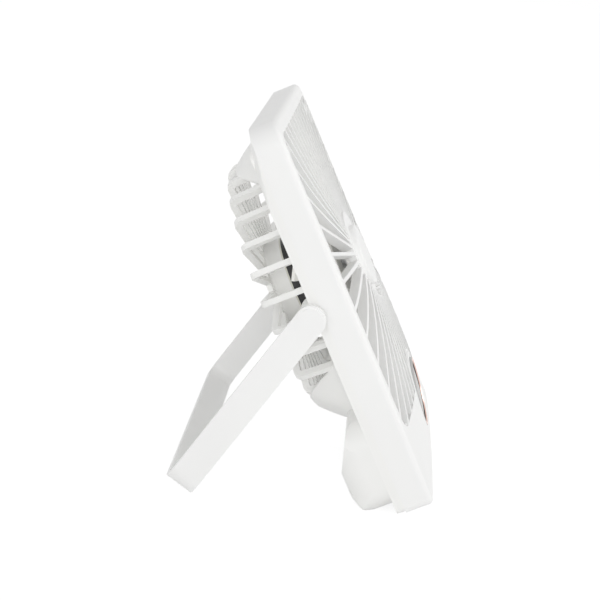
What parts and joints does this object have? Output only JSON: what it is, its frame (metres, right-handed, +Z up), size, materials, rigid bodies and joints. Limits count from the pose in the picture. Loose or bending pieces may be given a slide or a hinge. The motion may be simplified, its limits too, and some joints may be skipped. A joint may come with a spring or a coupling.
{
  "type": "portable desk fan",
  "caption": "Portable tabletop fan: rectangular radial front grille, ribbed round rear basket, battery housing at the foot, ringed power button, swinging strap handle that is also its stand.",
  "frame": {"origin": "middle of the fan's outline on the table, at rest on its housing and handle", "axes": "+Z up, the front grille faces -Y and leans back 27.9 degrees, the handle stands behind at +Y, +X to the right seen from the front"},
  "size_m": [0.2104, 0.1505, 0.2123],
  "materials": {
    "white_plastic": "satin moulded plastic",
    "ring_metal": "rose-gold plated, polished",
    "button_gloss": "glossy grey",
    "black_motor": "black lacquer",
    "black_plastic": "matte",
    "magnet": "bare",
    "stator_iron": "varnished",
    "steel": "bright",
    "board": "lacquered board",
    "cell_wrap": "plain sleeve"
  },
  "bodies": {
    "housing": {"front_cover": "white_plastic", "hub_cap": "white_plastic", "rear_cover": "white_plastic", "battery_cover": "white_plastic", "bezel_ring": "ring_metal", "motor_base": "black_motor", "bearings": "steel", "stator": "stator_iron", "control_board": "board", "charge_board": "board", "button_switch": "black_plastic", "board_screws": "steel", "cover_screws": "steel", "battery_screws": "steel", "motor_screws": "steel", "battery_cells": "cell_wrap", "battery_cradle": "black_plastic", "usb_socket": "steel", "pivot_pins": "steel", "pivot_washers": "black_plastic"},
    "rotor": {"impeller": "white_plastic", "rotor_can": "black_motor", "rotor_magnet": "magnet", "motor_shaft": "steel", "impeller_nut": "steel"},
    "handle": {"handle": "white_plastic", "pivot_caps": "white_plastic"},
    "button": {"power_button": "button_gloss"}
  },
  "joints": [
    {"name": "handle_swing", "type": "hinge", "parent": "housing", "child": "handle", "pos_m": [0, 0.00264, 0.10826], "axis": [1, 0, 0], "range_deg": [-54, 119]},
    {"name": "impeller_spin", "type": "hinge", "parent": "housing", "child": "rotor", "pos_m": [0, -0.00182, 0.11469], "axis": [0, -0.8838, 0.4679], "continuous": true},
    {"name": "button_press", "type": "slide", "parent": "housing", "child": "button", "axis": [0, 0.9403, -0.3404], "range_m": [0, 0.001], "stiffness_N_per_m": 2500}
  ]
}
